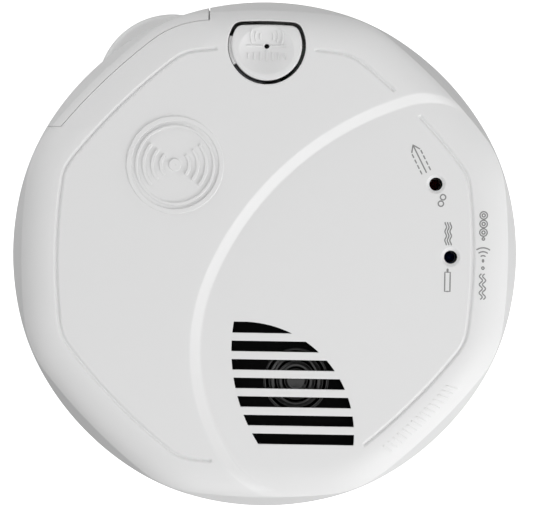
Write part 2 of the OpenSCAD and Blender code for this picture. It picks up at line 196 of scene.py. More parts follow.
def reach(angle, d, start=BODY_CORNER):
    """Distance from the axis to the offset d of the octagon, in the direction angle (degrees)."""
    turn, place = corner_place(start)
    s = np.radians(np.abs((np.asarray(angle) + 22.5) % 45 - 22.5))
    side = np.sqrt((BOW_BACK + d) ** 2 - (BOW_BACK * np.sin(s)) ** 2) - BOW_BACK * np.cos(s)
    c = HALF_SIDE - s
    corner = place * np.cos(c) + np.sqrt((d - start) ** 2 - (place * np.sin(c)) ** 2)
    return np.where(np.arctan2(side * np.sin(s), side * np.cos(s) + BOW_BACK) <= turn, side, corner)


def ridge(inset=0):
    """Distance and height of the edge between the shoulder and the side facets."""
    radius = SHOULDER_R - inset
    return (SHOULDER_D + radius * np.sin(RIDGE_SLOPE),
            DEPTH - SHOULDER_R + radius * np.cos(RIDGE_SLOPE))


def shoulder_height(d, top, inset=0):
    """Height of the rounded shoulder that falls from top to the ridge."""
    ridge_d, ridge_z = ridge(inset)
    run = ridge_d - SHOULDER_D
    drop = top - ridge_z
    radius = (run ** 2 + drop ** 2) / (2 * drop)
    return top - radius + np.sqrt(radius ** 2 - np.clip(d - SHOULDER_D, 0, run) ** 2)


def band_line():
    """Rows of x, y, direction and length so far, along the middle of the band and its leads."""
    heading = np.radians(BAND_HEADING)
    ahead = np.array([np.cos(heading), np.sin(heading)])
    point = np.array(BAND_START) - BAND_LEAD * ahead
    along = -BAND_LEAD
    rows = [(*point, *ahead, along)]
    for radius, length in ((STRAIGHT, BAND_LEAD), *BAND_ARCS, (STRAIGHT, BAND_LEAD)):
        count = round(length / BAND_STEP)
        turn = length / count / radius
        for _ in range(count):
            heading += turn / 2
            point = point + length / count * np.array([np.cos(heading), np.sin(heading)])
            heading += turn / 2
            along += length / count
            rows.append((*point, np.cos(heading), np.sin(heading), along))
    return np.array(rows)


BAND = band_line()


def band_half(along):
    """Half the band's width at a length along it."""
    return BAND_W / 2 * np.clip(along / BAND_TAPER, BAND_TIP, 1) ** BAND_FLARE


def band_side(x, y):
    """Signed distance from the band's middle, positive on the sounder side, and the length so far."""
    offset = np.empty(len(x))
    along = np.empty(len(x))
    for part in np.array_split(np.arange(len(x)), len(x) // 2000 + 1):
        dx = x[part, None] - BAND[None, :, 0]
        dy = y[part, None] - BAND[None, :, 1]
        near = np.argmin(dx ** 2 + dy ** 2, axis=1)
        row = BAND[near]
        ex = x[part] - row[:, 0]
        ey = y[part] - row[:, 1]
        offset[part] = ey * row[:, 2] - ex * row[:, 3]
        along[part] = row[:, 4]
    return offset, along


def band_share(x, y):
    """1 on the raised crescent, 0 on the sounder side, and a slope with rounded edges between."""
    offset, along = band_side(x, y)
    half = band_half(along)
    edge = BAND_EDGE / half
    return 0.5 - (np.hypot(offset / half + 1, edge) - np.hypot(offset / half - 1, edge)) / 4


def groove_place(x, y):
    """Distance out from the groove's middle line, and length to its nearest end, negative beyond it."""
    x, y = x - GROOVE_CENTRE[0], y - GROOVE_CENTRE[1]
    angle = np.degrees(np.arctan2(y, x))
    left = [(end - start) / 2 - np.abs((angle - (start + end) / 2 + 180) % 360 - 180)
            for start, end in GROOVE_RUNS]
    return distance(x, y, GROOVE_CORNER) - GROOVE_D, np.radians(np.max(left, axis=0)) * GROOVE_D


def groove_share(x, y):
    """1 at the bottom of the groove and 0 away from it."""
    out, left = groove_place(x, y)
    across = 0.5 + 0.5 * np.cos(np.pi * np.clip(out / (GROOVE_W / 2), -1, 1))
    return across * np.clip(left / GROOVE_END, 0, 1)


def two_levels(x, y, inset=0):
    """Height of the face without its details, or of its offset by inset."""
    d = distance(x, y)
    high = shoulder_height(d, DEPTH - inset, inset)
    low = shoulder_height(d, DEPTH - STEP - inset, inset)
    return low + (high - low) * band_share(x, y)


def face_height(x, y):
    """Height of the face, with its step, groove and sunk rims."""
    z = two_levels(x, y) - GROOVE_DEPTH * groove_share(x, y)
    for px, py in LIGHTS:
        into = (LIGHT_RIM_R - np.hypot(x - px, y - py)) / (LIGHT_RIM_R - LIGHT_R)
        z = z - LIGHT_SINK * np.clip(into, 0, 1)
    return z


def edge_drop(gap, radius):
    """How far an edge rounded to radius has fallen at a distance gap from it."""
    inside = np.clip(radius - gap, 0, radius)
    return radius - np.sqrt(radius ** 2 - inside ** 2)


ROUNDING_ROWS = (0.0, 0.076, 0.293, 0.617, 1.0)  # where a quarter round has its rows, in radii


# ---- outlines

def arc(centre, radius, start, end, count):
    """Points on an arc, both ends included, with its angles in degrees."""
    a = np.radians(np.linspace(start, end, count))
    return np.stack([centre[0] + radius * np.cos(a), centre[1] + radius * np.sin(a)], axis=1)


def circle(centre, radius, count, way=1):
    """Points round a full circle, counter-clockwise, or clockwise where way is -1."""
    return arc(centre, radius, 0, 360 * way, count + 1)[:-1]


def evenly(a, b, count):
    """Points from a to b, both ends included."""
    return np.linspace(np.asarray(a, float), np.asarray(b, float), count)


def polar(angles, radii):
    """Points at angles in degrees and distances from the axis."""
    a = np.radians(angles)
    return np.stack([radii * np.cos(a), radii * np.sin(a)], axis=1)


def normals(steps):
    """Unit normals to the left of steps."""
    return np.column_stack([-steps[:, 1], steps[:, 0]]) / np.linalg.norm(steps, axis=1)[:, None]


def turned(points, place, angle):
    """Points turned by angle (degrees) and moved to a place."""
    c, s = np.cos(np.radians(angle)), np.sin(np.radians(angle))
    x, y = np.asarray(points, float).T
    return np.column_stack([x * c - y * s, x * s + y * c]) + place


def offset_loop(loop, gap):
    """A closed outline moved to its left by gap, with mitred corners."""
    before = normals(loop - np.roll(loop, 1, axis=0))
    after = normals(np.roll(loop, -1, axis=0) - loop)
    spread = 1 + np.sum(before * after, axis=1)
    return loop + gap * (before + after) / np.maximum(spread, 0.5)[:, None]


def inside(loop, points):
    """Which points lie inside a closed outline."""
    result = np.zeros(len(points), bool)
    px, py = points[:, 0], points[:, 1]
    for (ax, ay), (bx, by) in zip(loop, np.roll(loop, -1, axis=0)):
        if ay != by:
            crosses = (ay > py) != (by > py)
            result ^= crosses & (px < ax + (py - ay) * (bx - ax) / (by - ay))
    return result


def gap_to(line, points, closed=True):
    """Distance from each point to a polyline."""
    nearest = np.full(len(points), np.inf)
    ends = np.roll(line, -1, axis=0) if closed else line[1:]
    for a, b in zip(line, ends):
        along = b - a
        share = np.clip((points - a) @ along / (along @ along + 1e-12), 0, 1)
        nearest = np.minimum(nearest, np.linalg.norm(points - a - share[:, None] * along, axis=1))
    return nearest


def angle_at(radius_of, axis, value, low, high):
    """The angle between low and high at which radius_of(angle) meets the line x or y = value."""
    wave = (np.cos, np.sin)[axis]
    for _ in range(50):
        mid = (low + high) / 2
        if radius_of(mid) * wave(np.radians(mid)) > value:
            low = mid
        else:
            high = mid
    return (low + high) / 2


def cut_angles(radius_of, right_gap=0.0, left_gap=0.0):
    """The angles at which a row of points meets the drawer's right and left end cuts."""
    return (angle_at(radius_of, 0, DRAWER_RIGHT - right_gap, 90, 135),
            angle_at(radius_of, 1, DRAWER_LEFT + left_gap, 135, 180))


def row_of(radius_of, start, end, columns):
    """A row of points from one angle to another, at shares of the way."""
    angles = start + (end - start) * columns
    return polar(angles, radius_of(angles))


def cover_row(radius_of, columns):
    """A row of points round the cover, from the drawer's left end on round to its right end."""
    right, left = cut_angles(radius_of)
    return row_of(radius_of, left, right + 360, columns)


def drawer_row(radius_of):
    """A row of points along the drawer's front, from its right end to its left end."""
    return row_of(radius_of, *cut_angles(radius_of, DRAWER_RIGHT_GAP, DRAWER_GAP), SEAM_COLUMNS)


def circle_of(radius):
    """A circle round the axis, as the distance at an angle."""
    return lambda angle: radius + 0 * np.asarray(angle)


def offset_of(d):
    """The offset d of the octagon, as the distance at an angle."""
    return lambda angle: reach(angle, d)


def facet_foot(row, inset):
    """Heights at which the facets reach the round wall."""
    ridge_d, ridge_z = ridge(inset)
    return ridge_z - np.maximum(distance(*row.T) - ridge_d, 0) / FACET_LEAN


def d_outline(r, cut, corner, arch):
    """A D-shaped outline on the button's centre, counter-clockwise, with rounded corners."""
    corner_x = np.sqrt((r - corner) ** 2 - (cut - corner) ** 2)
    turn = np.degrees(np.arctan2(cut - corner, corner_x))
    top = evenly((corner_x, cut), (-corner_x, cut), 17)
    top[:, 1] += arch * (1 - (top[:, 0] / corner_x) ** 2)
    return BUTTON + np.concatenate([
        arc((0, 0), r, -180 - turn, turn, 64),
        arc((corner_x, cut - corner), corner, turn, 90, 7)[1:-1],
        top,
        arc((-corner_x, cut - corner), corner, 90, 180 - turn, 7)[1:-1],
    ])


def slot_outline(index):
    """One grille slot, clockwise."""
    low = SLOT_TOP - SLOT_PITCH * index - SLOT_H
    top = low + SLOT_H if index else FIRST_SLOT_TOP
    (left_x, left_y), left_r = GRILLE_LEFT
    (right_x, right_y), right_r = GRILLE_RIGHT
    left_turns = [180 - np.degrees(np.arcsin((y - left_y) / left_r)) for y in (low, top)]
    right_turns = [np.degrees(np.arcsin((y - right_y) / right_r)) for y in (top, low)]
    left = arc((left_x, left_y), left_r, *left_turns, 5)
    right = arc((right_x, right_y), right_r, *right_turns, 5 if index else 9)
    low_count = int(np.ceil((right[-1, 0] - left[0, 0]) / SLOT_SPACING))
    top_count = max(2, int(np.ceil((right[0, 0] - left[-1, 0]) / SLOT_SPACING)))
    return np.concatenate([left, evenly(left[-1], right[0], top_count)[1:-1],
                           right, evenly(right[-1], left[0], low_count)[1:-1]])


# ---- meshes

class Shell:
    """Points and faces of one mesh. A run is a list of point numbers."""

    def __init__(self):
        self.points = []
        self.faces = []
        self.sharp = []

    def add(self, points):
        """Adds points and returns their run."""
        start = len(self.points)
        self.points.extend(tuple(float(c) for c in p) for p in points)
        return list(range(start, len(self.points)))

    def level(self, row, z):
        """Adds plan points at the height or heights z."""
        return self.add(np.column_stack([row, np.broadcast_to(z, len(row))]))

    def strip(self, a, b, closed=False):
        """Adds the faces between two runs of the same length."""
        pairs = list(zip(range(len(a)), range(1, len(a))))
        if closed:
            pairs.append((len(a) - 1, 0))
        self.faces += [(a[i], a[j], b[j], b[i]) for i, j in pairs]

    def skin(self, runs, closed=False, capped=False):
        """Adds the faces from each run to the next, and a face on the first and last run."""
        for a, b in zip(runs, runs[1:]):
            self.strip(a, b, closed)
        if capped:
            self.faces += [tuple(runs[0]), tuple(runs[-1])]

    def sheet(self, plan, z, triangles, outlines):
        """Adds triangles given in plan at the heights z, and returns the runs of their outlines."""
        start = len(self.points)
        self.level(plan, z)
        self.faces += [tuple(start + t) for t in triangles]
        return [[start + i for i in run] for run in outlines]

    def face(self, run):
        self.faces.append(tuple(run))

    def crease(self, run):
        """Keeps the edges along a run sharp."""
        self.sharp += list(zip(run, run[1:]))


def add_prism(shell, loop, low, high, edge=0.2, place=None):
    """A closed outline between two heights, with its edges cut back by edge."""
    x, y = loop.T
    turn = np.sign(np.sum(x * np.roll(y, -1) - y * np.roll(x, -1)))
    cut = offset_loop(loop, turn * edge)
    rows = [(cut, low), (loop, low + edge), (loop, high - edge), (cut, high)]
    runs = [shell.add(place(row, z)) if place else shell.level(row, z) for row, z in rows]
    shell.skin(runs, closed=True, capped=True)


def add_sweep(shell, section, start, end, count, centre=(0, 0)):
    """A closed (radius, height) section turned between two angles, or all the way round."""
    full = abs(end - start) >= 360
    angles = np.linspace(start, end, count, endpoint=not full)
    runs = []
    for a in np.radians(angles):
        runs.append(shell.add([(centre[0] + r * np.cos(a), centre[1] + r * np.sin(a), z)
                               for r, z in section]))
    if full:
        runs.append(runs[0])
    shell.skin(runs, closed=True, capped=not full)


def chamfered(inner, outer, low, high, edge):
    """A rectangular (radius, height) section with its corners cut."""
    return [(inner + edge, low), (outer - edge, low), (outer, low + edge), (outer, high - edge),
            (outer - edge, high), (inner + edge, high), (inner, high - edge), (inner, low + edge)]


SHARP_ANGLE = np.radians(38)  # edges that turn more than this aren't shaded smooth


def add_object(name, data):
    thing = bpy.data.objects.new(name, data)
    bpy.context.scene.collection.objects.link(thing)
    return thing


def raw_mesh(name, shell):
    mesh = bpy.data.meshes.new(name)
    mesh.from_pydata([Vector(p) * MM for p in shell.points], [], shell.faces)
    return mesh


def finish_mesh(name, shell, body, slot, *nodes):
    """Makes the object of a shell, attaches it to the body it rides on, gives it its finish and hides the
    CAD nodes it stands for.
    """
    mesh = raw_mesh(name, shell)
    work = bmesh.new()
    work.from_mesh(mesh)
    work.verts.ensure_lookup_table()
    for a, b in shell.sharp:
        work.edges.get((work.verts[a], work.verts[b])).smooth = False
    bmesh.ops.remove_doubles(work, verts=work.verts, dist=1e-7)
    bmesh.ops.recalc_face_normals(work, faces=work.faces)
    for face in work.faces:
        face.smooth = True
    for edge in work.edges:
        if edge.calc_face_angle(0) > SHARP_ANGLE:
            edge.smooth = False
    work.to_mesh(mesh)
    work.free()
    mesh.materials.append(MATERIALS[slot])
    piece = add_object(name, mesh)
    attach(piece, body)
    if nodes:
        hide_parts(*nodes)


def triangulate(loops, within):
    """Plan points and triangles inside the first outline and outside the others, and the outlines' runs."""
    points = np.concatenate([*loops, within])
    sizes = [len(loop) for loop in loops]
    starts = [sum(sizes[:k]) for k in range(len(sizes))]
    edges = [(s + i, s + (i + 1) % n) for s, n in zip(starts, sizes) for i in range(n)]
    made = delaunay_2d_cdt([Vector(p) for p in points], edges, [], 0, 1e-6)
    plan = np.array([tuple(v) for v in made[0]])
    triangles = np.array([f for f in made[2] if len(f) == 3])
    place = {old: new for new, olds in enumerate(made[3]) for old in olds}
    centres = plan[triangles].mean(axis=1)
    keep = inside(loops[0], centres)
    for loop in loops[1:]:
        keep &= ~inside(loop, centres)
    return plan, triangles[keep], [[place[s + i] for i in range(n)] for s, n in zip(starts, sizes)]


# ---- the front cover

COLUMN_COUNT = 211  # points along the cover's rim
COLUMNS = np.linspace(0, 1, COLUMN_COUNT)
SEAM_COLUMNS = np.linspace(0, 1, 41)  # the same for the drawer's seam
END_COUNT = 5  # points along an end of the drawer's notch
CUT_ROUNDING = 0.12  # rounding of the seam and the slots
LIGHT_ROUNDING = 0.1
PARTING_CHAMFER = 0.3
HIDDEN_CHAMFER = 0.3  # of the tongue, the collar and the bosses
BAND_SHARES = (0.5, 0.8, 0.94, 1.04, 1.12, 1.25, 1.45)

TONGUE_TURNS = (-205, 100)  # it leaves out the drawer's part of the round
TONGUE_GAP = 0.35
TONGUE_T = 1.65
COLLAR_W = 1.3  # the collar's width round the button's opening
COLLAR_FLAT_W = 0.6  # and along its flat side
COLLAR_CORNER = 3.6
COLLAR_Z = (DEPTH - 4.8, DEPTH - 3.2)
BOSS_TURNS = (-8, 200, 300)  # directions of the screw bosses
BOSS_PLACE = 64.0
BOSS_HOLE_R = 1.45
BOSS_R = 3.2
BOSS_Z = (10.6, 44.5)


def cover_outline(ridge_d):
    """The cover's outline in plan, counter-clockwise: its rim, then the notch for the drawer."""
    rim = cover_row(offset_of(ridge_d), COLUMNS)
    seam_at = offset_of(DRAWER_SEAM_D)
    seam = row_of(seam_at, *cut_angles(seam_at), SEAM_COLUMNS)
    right_cut = evenly(rim[-1], seam[0], END_COUNT)[1:-1]
    left_cut = evenly(seam[-1], rim[0], END_COUNT)[1:-1]
    return np.concatenate([rim, right_cut, seam, left_cut])


def grid_points(half, step, limit):
    """A square grid of points, cut off at the distance limit."""
    ticks = np.arange(-half, half + 0.1, step)
    grid = np.stack(np.meshgrid(ticks, ticks), axis=-1).reshape(-1, 2)
    return grid[distance(*grid.T) < limit]


def band_rows(shares, step):
    """Points beside every step-th point of the band's middle, at shares of its half width."""
    part = BAND[BAND_SPARE:-BAND_SPARE:step]
    across = band_half(part[:, 4])[:, None] * normals(part[:, 2:4])
    return np.concatenate([part[:, :2] + share * across for share in shares])


def off_band(points, share, margin):
    """The points that lie away from the band."""
    offset, along = band_side(*points.T)
    return points[np.abs(offset) > band_half(along) * share + margin]


def groove_rows():
    """Points across the groove, close together where its ends run out."""
    offsets = GROOVE_W / 2 * np.array([-1.25, *np.linspace(-1, 1, 11), 1.25])
    one_mm = np.degrees(1 / GROOVE_D)
    run_out = one_mm * np.array([-0.3, 0, 0.15, 0.3, 0.45, 0.6, 0.9])
    rows = []
    for start, end in GROOVE_RUNS:
        count = int((end - start) / one_mm / 1.1)
        between = np.linspace(start + 2 * one_mm, end - 2 * one_mm, count)
        angles = np.concatenate([start + run_out, between, end - run_out[::-1]])
        base = polar(angles, reach(angles, GROOVE_D, GROOVE_CORNER))
        ahead = polar(angles + 0.01, reach(angles + 0.01, GROOVE_D, GROOVE_CORNER)) - base
        rows += [GROOVE_CENTRE + base - offset * normals(ahead) for offset in offsets]
    return np.concatenate(rows)


def near_groove(points, margin):
    """Which points lie on the groove or within margin of it."""
    out, left = groove_place(*points.T)
    return (left > -margin) & (np.abs(out) < GROOVE_W / 2 + margin)


def face_points(outline, holes):
    """Points inside the face: rows round the holes and along its features, and a plain grid."""
    ring_sets = []
    for hole, rounding in holes:
        for share in (*ROUNDING_ROWS[1:], 1.9):
            ring = offset_loop(hole, share * rounding)
            ring_sets.append(ring[np.abs(gap_to(hole, ring) - share * rounding) < 0.1 * rounding])
    for slot, rounding in holes[:SLOT_COUNT]:
        tip = slot[np.argmax(slot[:, 0] - slot[:, 1])]
        for share in (0.4, 1.0, 2.0, 4.0):
            ring = arc(tip, share * rounding, 0, 330, 12)
            ring_sets.append(ring[~inside(slot, ring) & (gap_to(slot, ring) > 0.3 * share * rounding)])
    for place in LIGHTS:
        ring_sets += [circle(place, radius, 32, -1) for radius in LIGHT_RINGS]
    shifted = [offset_loop(outline, share * CUT_ROUNDING) for share in (*ROUNDING_ROWS[1:], 2.2)]
    notch_rows = np.concatenate([row[COLUMN_COUNT:] for row in shifted])
    notch_rows = notch_rows[distance(*notch_rows.T) < ridge()[0] - 0.4]
    rings = np.concatenate([*ring_sets, notch_rows])

    def away(points, outline_gap, hole_gap):
        """The points that keep clear of the outline and of the rows round the holes."""
        keep = inside(outline, points) & (gap_to(outline, points) > outline_gap)
        for hole, rounding in holes:
            keep &= ~inside(hole, points) & (gap_to(hole, points) > rounding * 1.9 + hole_gap)
        for place in LIGHTS:
            keep &= np.hypot(*(points - place).T) > LIGHT_RINGS[-1] + hole_gap
        return points[keep]

    band = away(band_rows((*[-s for s in BAND_SHARES[::-1]], 0, *BAND_SHARES), 3), 0.3, 0.5)
    groove = away(groove_rows(), 0.6, 0.4)
    shoulder = np.concatenate([
        cover_row(offset_of(SHOULDER_D + SHOULDER_R * np.sin(np.radians(a))), COLUMNS)
        for a in range(0, 55, 6)])
    shoulder = away(shoulder, 0.5, 0.5)
    shoulder = shoulder[~near_groove(shoulder, 0.5)]
    shoulder = off_band(shoulder, BAND_SHARES[-1], 0.2)
    grid = away(grid_points(60, 2.6, SHOULDER_D - 0.8), 1.0, 1.2)
    grid = grid[~near_groove(grid, 1.2)]
    grid = off_band(grid, BAND_SHARES[-1], 1.2)
    return np.concatenate([rings, band, groove, shoulder, grid])


def under_points(outline, holes):
    """A sparser set of points for the underside."""
    band = band_rows((-1.3, -0.9, 0.9, 1.3), 10)
    shoulder = np.concatenate([cover_row(offset_of(SHOULDER_D + past), COLUMNS[::3])
                               for past in (0, 2.1, 4.1, 5.8)])
    grid = off_band(grid_points(58, 5, SHOULDER_D - 2), 1.3, 1)
    points = np.concatenate([band, shoulder, grid])
    keep = inside(outline, points) & (gap_to(outline, points) > 0.6)
    for hole, _ in holes:
        keep &= ~inside(hole, points) & (gap_to(hole, points) > 0.6)
    return points[keep]


def build_cover():
    """The front cover, closed, with its notch for the drawer and its holes."""
    shell = Shell()
    holes = [(slot_outline(i), CUT_ROUNDING) for i in range(SLOT_COUNT)]
    holes += [(circle(place, LIGHT_R, 32, -1), LIGHT_ROUNDING) for place in LIGHTS]
    opening = d_outline(OPENING_R, OPENING_CUT, OPENING_CORNER, OPENING_ARCH)[::-1]
    holes.append((opening, OPENING_ROUNDING))
    hole_loops = [hole for hole, _ in holes]

    # The outer face
    outline = cover_outline(ridge()[0])
    plan, *faces = triangulate([outline, *hole_loops], face_points(outline, holes))
    z = face_height(*plan.T)
    cut = np.concatenate([outline[COLUMN_COUNT - 1:], outline[:1]])
    z -= edge_drop(gap_to(cut, plan, closed=False), CUT_ROUNDING)
    for hole, rounding in holes:
        z -= edge_drop(gap_to(hole, plan), rounding)
    top = shell.sheet(plan, z, *faces)

    # The underside
    inner = cover_outline(ridge(WALL)[0])
    plan, *faces = triangulate([inner, *hole_loops], under_points(inner, holes))
    under = shell.sheet(plan, two_levels(*plan.T, WALL), *faces)

    # Walls of the holes and of the drawer's seam
    for a, b in zip(top[1:], under[1:]):
        shell.strip(a, b, closed=True)
    seam = slice(COLUMN_COUNT + END_COUNT - 2, 2 - END_COUNT)
    shell.strip(top[0][seam], under[0][seam])

    # Facets and the round wall, outside and inside
    crease = cover_row(circle_of(BODY_R), COLUMNS)
    foot = cover_row(circle_of(BODY_R - PARTING_CHAMFER), COLUMNS)
    inner_crease = cover_row(circle_of(BODY_R - WALL), COLUMNS)
    outer_runs = [top[0][:COLUMN_COUNT], shell.level(crease, facet_foot(crease, 0)),
                  shell.level(crease, SEAM_Z + PARTING_CHAMFER), shell.level(foot, SEAM_Z)]
    inner_runs = [under[0][:COLUMN_COUNT], shell.level(inner_crease, facet_foot(inner_crease, WALL)),
                  shell.level(inner_crease, SEAM_Z)]
    shell.skin(outer_runs)
    shell.skin(inner_runs)
    for run in outer_runs[:2]:
        shell.crease(run)
    shell.strip(outer_runs[-1], inner_runs[-1])

    # The two ends of the notch
    right = range(COLUMN_COUNT - 1, COLUMN_COUNT - 1 + END_COUNT)
    left = range(0, -END_COUNT, -1)
    for end, numbers in ((-1, right), (0, left)):
        line = [top[0][i] for i in numbers]
        under_line = [under[0][i] for i in numbers]
        shell.face(line[::-1] + [run[end] for run in outer_runs[1:]]
                   + [run[end] for run in inner_runs[:0:-1]] + under_line)

    # Tongue that drops into the rear housing, away from the drawer
    tongue_r = BODY_R - WALL - TONGUE_GAP
    tongue = chamfered(tongue_r - TONGUE_T, tongue_r, SEAM_Z - 3, SEAM_Z + 1.5, HIDDEN_CHAMFER)
    add_sweep(shell, tongue, *TONGUE_TURNS, 150)

    # Collar under the button's opening
    collar = d_outline(OPENING_R + COLLAR_W, OPENING_CUT + COLLAR_FLAT_W, COLLAR_CORNER, OPENING_ARCH)
    cut = offset_loop(collar, HIDDEN_CHAMFER)
    bore = d_outline(OPENING_R + 0.02, OPENING_CUT + 0.02, OPENING_CORNER, OPENING_ARCH)
    low, high = COLLAR_Z
    rows = ((collar, high), (collar, low + HIDDEN_CHAMFER), (cut, low), (bore, low), (bore, high))
    runs = [shell.level(row, z) for row, z in rows]
    shell.skin(runs + [runs[0]], closed=True)

    # Screw bosses
    boss = chamfered(BOSS_HOLE_R, BOSS_R, *BOSS_Z, HIDDEN_CHAMFER)
    for place in polar(np.array(BOSS_TURNS), BOSS_PLACE):
        add_sweep(shell, boss, 0, 360, 33, place)
    finish_mesh("cover_front", shell, "alarm", "cover_plastic", "front_cover")


# ---- the battery drawer

BAY_TURN = 135  # the way the drawer slides out, in degrees
TRAY_IN = 31.0
TRAY_LOW = -34.75
TRAY_HIGH = 16.5
TRAY_Z = 13.6
TRAY_T = 1.6
TRAY_WALL = 1.2
TRAY_BACK_H = 4.8  # heights of its back wall,
TRAY_LOW_H = 10.0  # of the wall at its low side and of the keeper,
TRAY_HIGH_H = 4.4  # and of the wall at its high side
KEEPER_HALF = 12.0  # the keeper stands behind the battery


def in_bay(points, z):
    """Points given along and across the way the drawer slides, in the alarm's frame."""
    return np.column_stack([turned(points, (0, 0), BAY_TURN), np.broadcast_to(z, len(points))])


def tray_piece(low_u, high_u, low_v, high_v):
    """A strip of the tray in plan, ended by the drawer's front if high_u is None."""
    if high_u is not None:
        return np.array([(low_u, low_v), (high_u, low_v), (high_u, high_v), (low_u, high_v)])
    wall_r = BODY_R - WALL + 0.2
    ends = [np.degrees(np.arcsin(v / wall_r)) for v in (low_v, high_v)]
    bend = arc((0, 0), wall_r, *ends, max(2, int(ends[1] - ends[0])))
    return np.concatenate([[(low_u, low_v)], bend, [(low_u, high_v)]])


def build_drawer():
    """The drawer's front, its thumb tab and the tray behind it."""
    shell = Shell()
    front_d = DRAWER_SEAM_D + DRAWER_GAP
    rows = []
    for share in ROUNDING_ROWS:
        d = front_d + share * CUT_ROUNDING
        z = shoulder_height(d, DEPTH) - edge_drop(share * CUT_ROUNDING, CUT_ROUNDING)
        rows.append((drawer_row(offset_of(d)), z))
    for d in (*DRAWER_ROWS, ridge()[0]):
        rows.append((drawer_row(offset_of(d)), shoulder_height(d, DEPTH)))
    ridge_row = len(rows) - 1
    crease = drawer_row(circle_of(BODY_R))
    foot = drawer_row(circle_of(BODY_R - DRAWER_CHAMFER))
    inner = drawer_row(circle_of(BODY_R - WALL))
    hidden = drawer_row(offset_of(front_d))
    rows += [(crease, facet_foot(crease, 0)), (crease, DRAWER_Z + DRAWER_CHAMFER), (foot, DRAWER_Z),
             (inner, DRAWER_Z), (inner, facet_foot(inner, WALL)), (hidden, facet_foot(hidden, WALL))]
    runs = [shell.level(row, z) for row, z in rows]
    shell.skin(runs + [runs[0]])
    for run in runs[ridge_row:ridge_row + 2]:
        shell.crease(run)
    for end in (0, -1):
        shell.face([run[end] for run in runs])

    # Thumb tab, a lens that stands out from the wall, as rows of inset and height
    along = np.hypot(*TAB_PLACE)
    toward = np.degrees(np.arctan2(TAB_PLACE[1], TAB_PLACE[0]))
    half = np.degrees(np.arccos((TAB_ROOT_R ** 2 - along ** 2 - TAB_R ** 2) / (2 * along * TAB_R)))
    runs = []
    for inset, z in ((0.7, 0), (0.2, 0.15), (0, 0.6), (0, TAB_T - 1.3), (0.15, TAB_T - 0.75),
                     (0.55, TAB_T - 0.3), (1.1, TAB_T - 0.07), (1.7, TAB_T)):
        lens = arc(TAB_PLACE, TAB_R - inset, toward - half, toward + half, 40)
        runs.append(shell.level(lens, DRAWER_Z + z))
    shell.skin(runs, capped=True)
    shell.face([run[0] for run in runs] + [run[-1] for run in runs[::-1]])

    # Tray: its floor, three walls and the keeper
    keeper_u = box_in_bay("battery_case")[1][0] + 0.3
    for plan, tall in (
            (tray_piece(TRAY_IN, None, TRAY_LOW, TRAY_HIGH), TRAY_T),
            (tray_piece(TRAY_IN, TRAY_IN + TRAY_WALL, TRAY_LOW, TRAY_HIGH), TRAY_BACK_H),
            (tray_piece(TRAY_IN, None, TRAY_LOW, TRAY_LOW + TRAY_WALL), TRAY_LOW_H),
            (tray_piece(TRAY_IN, None, TRAY_HIGH - TRAY_WALL, TRAY_HIGH), TRAY_HIGH_H),
            (tray_piece(keeper_u, keeper_u + TRAY_WALL, -KEEPER_HALF, KEEPER_HALF), TRAY_LOW_H)):
        add_prism(shell, plan, TRAY_Z, TRAY_Z + tall, 0.15, place=in_bay)
    finish_mesh("drawer_front_and_tray", shell, "drawer", "drawer_plastic", "battery_drawer")


def box_in_bay(node):
    """A node's box measured along and across the way the drawer slides."""
    points = [v.co[:2] for v in frame["nodes"][node].data.vertices]
    points = turned(points, (0, 0), -BAY_TURN) / MM
    return points.min(axis=0), points.max(axis=0)


# ---- the test button

CATCH_R = 12.0
CATCH_START = 3.3  # the catch begins this far above the button's centre
CATCH_T = 1.2
RIB_TURNS = (166, 211)
RIB_OUT = 0.9  # the guide rib stands out this far from the button's side
STEM_R = 2.0

def button_height(x, y):
    """Height of the button's top: flush with the face round it, with a shallow dish."""
    reach_out = np.hypot((x - DISH[0]) / DISH_HALF[0], (y - DISH[1]) / DISH_HALF[1])
    dish = DISH_DEPTH * (1 - np.clip(reach_out, 0, 1) ** 2) ** DISH_POWER
    return shoulder_height(distance(x, y), DEPTH) - BUTTON_SINK - dish


